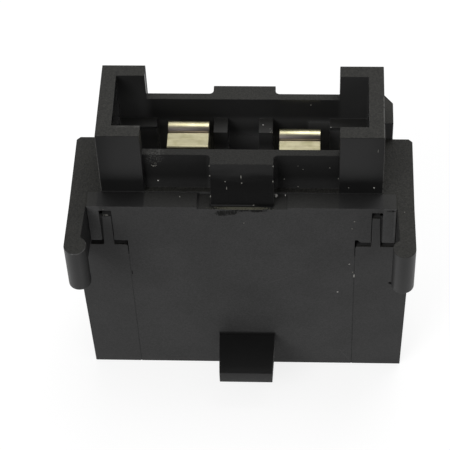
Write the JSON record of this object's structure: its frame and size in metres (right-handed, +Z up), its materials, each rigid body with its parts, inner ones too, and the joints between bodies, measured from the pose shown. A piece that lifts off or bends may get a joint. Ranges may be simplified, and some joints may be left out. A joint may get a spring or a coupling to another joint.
{
  "type": "blade fuse holder",
  "caption": "Moulded blade fuse holder with an open fuse pocket on a tower, a slide-in T-shaped front cover, spring contacts with blade tabs, side clip arms and a foot tongue.",
  "frame": {"origin": "in the base plane, straight below the middle of the fuse pocket", "axes": "+X along the fuse, -Y towards the front cover, +Z up out of the pocket"},
  "size_m": [0.0274, 0.0156, 0.0279],
  "materials": {
    "housing_plastic": "black moulding, spark-eroded texture on the top faces, polished on the tower's sides",
    "cover_plastic": "black moulding, fine spark-eroded texture",
    "contact_metal": "plated, bright, with fine drawing lines"
  },
  "bodies": {
    "root": {"housing": "housing_plastic", "front_cover": "cover_plastic", "contact_left": "contact_metal", "contact_right": "contact_metal"}
  },
  "joints": []
}
